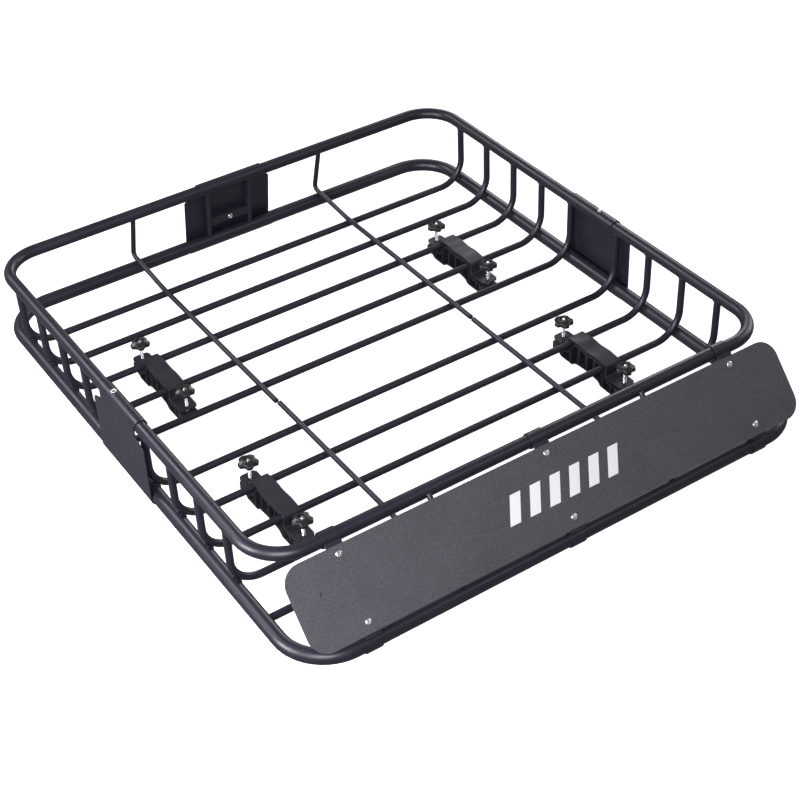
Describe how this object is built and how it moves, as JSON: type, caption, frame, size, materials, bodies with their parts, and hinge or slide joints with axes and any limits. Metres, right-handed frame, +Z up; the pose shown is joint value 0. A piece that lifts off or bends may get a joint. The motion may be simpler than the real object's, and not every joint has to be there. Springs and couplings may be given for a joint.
{
  "type": "roof cargo basket",
  "caption": "Welded steel-tube roof basket with U-shaped crossbars, a leaning wind fairing, and clamps with hand knobs.",
  "frame": {"origin": "under the middle of the basket, level with the feet of the clamp blocks that it stands on", "axes": "+X to the vehicle's right, +Y to its rear (the fairing is at -Y), +Z up"},
  "size_m": [0.995, 1.1224, 0.1922],
  "materials": {
    "powder_coat": "satin black powder coat",
    "fairing_coat": "fine textured black coat",
    "strap_plastic": "moulded black",
    "block_plastic": "moulded black",
    "knob_plastic": "smooth black",
    "zinc_steel": "bright zinc plate",
    "bare_steel": "oiled",
    "brass": "turned"
  },
  "bodies": {
    "frame": {"crossbar_1": "powder_coat", "crossbar_2": "powder_coat", "crossbar_3": "powder_coat", "crossbar_4": "powder_coat", "crossbar_5": "powder_coat", "crossbar_6": "powder_coat", "crossbar_7": "powder_coat", "crossbar_8": "powder_coat", "crossbar_9": "powder_coat", "crossbar_front": "powder_coat", "fairing_clips_lower": "powder_coat", "fairing_clips_upper": "powder_coat", "fairing_nuts": "zinc_steel", "fairing_panel": "fairing_coat", "fairing_screws": "zinc_steel", "long_rod_front_left": "powder_coat", "long_rod_front_right": "powder_coat", "long_rod_rear_left": "powder_coat", "long_rod_rear_right": "powder_coat", "lower_rail_front": "powder_coat", "lower_rail_rear": "powder_coat", "rail_joint_sleeves": "bare_steel", "rear_bracket_screw": "zinc_steel", "rear_bracket_strip": "powder_coat", "rear_plate": "powder_coat", "rear_plate_rods": "powder_coat", "side_plate_left": "powder_coat", "side_plate_right": "powder_coat", "side_plate_screws": "zinc_steel", "upper_rail_front": "powder_coat", "upper_rail_rear": "powder_coat"},
    "rear_left_saddle": {"rear_left_strap": "strap_plastic"},
    "rear_left_lower": {"rear_left_block": "block_plastic", "rear_left_bolts": "zinc_steel"},
    "rear_left_core_rear": {"rear_left_insert_rear": "brass"},
    "rear_left_grip_rear": {"rear_left_knob_rear": "knob_plastic"},
    "rear_left_core_front": {"rear_left_insert_front": "brass"},
    "rear_left_grip_front": {"rear_left_knob_front": "knob_plastic"},
    "rear_right_saddle": {"rear_right_strap": "strap_plastic"},
    "rear_right_lower": {"rear_right_block": "block_plastic", "rear_right_bolts": "zinc_steel"},
    "rear_right_core_rear": {"rear_right_insert_rear": "brass"},
    "rear_right_grip_rear": {"rear_right_knob_rear": "knob_plastic"},
    "rear_right_core_front": {"rear_right_insert_front": "brass"},
    "rear_right_grip_front": {"rear_right_knob_front": "knob_plastic"},
    "front_left_saddle": {"front_left_strap": "strap_plastic"},
    "front_left_lower": {"front_left_block": "block_plastic", "front_left_bolts": "zinc_steel"},
    "front_left_core_rear": {"front_left_insert_rear": "brass"},
    "front_left_grip_rear": {"front_left_knob_rear": "knob_plastic"},
    "front_left_core_front": {"front_left_insert_front": "brass"},
    "front_left_grip_front": {"front_left_knob_front": "knob_plastic"},
    "front_right_saddle": {"front_right_strap": "strap_plastic"},
    "front_right_lower": {"front_right_block": "block_plastic", "front_right_bolts": "zinc_steel"},
    "front_right_core_rear": {"front_right_insert_rear": "brass"},
    "front_right_grip_rear": {"front_right_knob_rear": "knob_plastic"},
    "front_right_core_front": {"front_right_insert_front": "brass"},
    "front_right_grip_front": {"front_right_knob_front": "knob_plastic"}
  },
  "joints": [
    {"name": "rear_left_slide", "type": "slide", "parent": "frame", "child": "rear_left_saddle", "axis": [1, 0, 0], "range_m": [-0.087, 0.097]},
    {"name": "rear_left_block_drop", "type": "slide", "parent": "rear_left_saddle", "child": "rear_left_lower", "axis": [0, 0, 1], "range_m": [-0.012, 0]},
    {"name": "rear_left_thread_rear", "type": "slide", "parent": "rear_left_lower", "child": "rear_left_core_rear", "axis": [0, 0, 1], "range_m": [-0.0105, 0.004]},
    {"name": "rear_left_knob_turn_rear", "type": "hinge", "parent": "rear_left_core_rear", "child": "rear_left_grip_rear", "pos_m": [-0.327, 0.29595, 0.062], "axis": [0, 0, 1], "range_deg": [-3780, 1440]},
    {"name": "rear_left_thread_front", "type": "slide", "parent": "rear_left_lower", "child": "rear_left_core_front", "axis": [0, 0, 1], "range_m": [-0.0105, 0.004]},
    {"name": "rear_left_knob_turn_front", "type": "hinge", "parent": "rear_left_core_front", "child": "rear_left_grip_front", "pos_m": [-0.327, 0.12395, 0.062], "axis": [0, 0, 1], "range_deg": [-3780, 1440]},
    {"name": "rear_right_slide", "type": "slide", "parent": "frame", "child": "rear_right_saddle", "axis": [1, 0, 0], "range_m": [-0.094, 0.09]},
    {"name": "rear_right_block_drop", "type": "slide", "parent": "rear_right_saddle", "child": "rear_right_lower", "axis": [0, 0, 1], "range_m": [-0.012, 0]},
    {"name": "rear_right_thread_rear", "type": "slide", "parent": "rear_right_lower", "child": "rear_right_core_rear", "axis": [0, 0, 1], "range_m": [-0.0105, 0.004]},
    {"name": "rear_right_knob_turn_rear", "type": "hinge", "parent": "rear_right_core_rear", "child": "rear_right_grip_rear", "pos_m": [0.324, 0.29595, 0.062], "axis": [0, 0, 1], "range_deg": [-3780, 1440]},
    {"name": "rear_right_thread_front", "type": "slide", "parent": "rear_right_lower", "child": "rear_right_core_front", "axis": [0, 0, 1], "range_m": [-0.0105, 0.004]},
    {"name": "rear_right_knob_turn_front", "type": "hinge", "parent": "rear_right_core_front", "child": "rear_right_grip_front", "pos_m": [0.324, 0.12395, 0.062], "axis": [0, 0, 1], "range_deg": [-3780, 1440]},
    {"name": "front_left_slide", "type": "slide", "parent": "frame", "child": "front_left_saddle", "axis": [1, 0, 0], "range_m": [-0.083, 0.101]},
    {"name": "front_left_block_drop", "type": "slide", "parent": "front_left_saddle", "child": "front_left_lower", "axis": [0, 0, 1], "range_m": [-0.012, 0]},
    {"name": "front_left_thread_rear", "type": "slide", "parent": "front_left_lower", "child": "front_left_core_rear", "axis": [0, 0, 1], "range_m": [-0.0105, 0.004]},
    {"name": "front_left_knob_turn_rear", "type": "hinge", "parent": "front_left_core_rear", "child": "front_left_grip_rear", "pos_m": [-0.331, -0.10645, 0.062], "axis": [0, 0, 1], "range_deg": [-3780, 1440]},
    {"name": "front_left_thread_front", "type": "slide", "parent": "front_left_lower", "child": "front_left_core_front", "axis": [0, 0, 1], "range_m": [-0.0105, 0.004]},
    {"name": "front_left_knob_turn_front", "type": "hinge", "parent": "front_left_core_front", "child": "front_left_grip_front", "pos_m": [-0.331, -0.27845, 0.062], "axis": [0, 0, 1], "range_deg": [-3780, 1440]},
    {"name": "front_right_slide", "type": "slide", "parent": "frame", "child": "front_right_saddle", "axis": [1, 0, 0], "range_m": [-0.095, 0.089]},
    {"name": "front_right_block_drop", "type": "slide", "parent": "front_right_saddle", "child": "front_right_lower", "axis": [0, 0, 1], "range_m": [-0.012, 0]},
    {"name": "front_right_thread_rear", "type": "slide", "parent": "front_right_lower", "child": "front_right_core_rear", "axis": [0, 0, 1], "range_m": [-0.0105, 0.004]},
    {"name": "front_right_knob_turn_rear", "type": "hinge", "parent": "front_right_core_rear", "child": "front_right_grip_rear", "pos_m": [0.325, -0.10645, 0.062], "axis": [0, 0, 1], "range_deg": [-3780, 1440]},
    {"name": "front_right_thread_front", "type": "slide", "parent": "front_right_lower", "child": "front_right_core_front", "axis": [0, 0, 1], "range_m": [-0.0105, 0.004]},
    {"name": "front_right_knob_turn_front", "type": "hinge", "parent": "front_right_core_front", "child": "front_right_grip_front", "pos_m": [0.325, -0.27845, 0.062], "axis": [0, 0, 1], "range_deg": [-3780, 1440]}
  ],
  "couplings": [
    {"joint": "rear_left_knob_turn_rear", "follows": "rear_left_thread_rear", "rad_per_m": 6283.2},
    {"joint": "rear_left_knob_turn_front", "follows": "rear_left_thread_front", "rad_per_m": 6283.2},
    {"joint": "rear_right_knob_turn_rear", "follows": "rear_right_thread_rear", "rad_per_m": 6283.2},
    {"joint": "rear_right_knob_turn_front", "follows": "rear_right_thread_front", "rad_per_m": 6283.2},
    {"joint": "front_left_knob_turn_rear", "follows": "front_left_thread_rear", "rad_per_m": 6283.2},
    {"joint": "front_left_knob_turn_front", "follows": "front_left_thread_front", "rad_per_m": 6283.2},
    {"joint": "front_right_knob_turn_rear", "follows": "front_right_thread_rear", "rad_per_m": 6283.2},
    {"joint": "front_right_knob_turn_front", "follows": "front_right_thread_front", "rad_per_m": 6283.2}
  ]
}
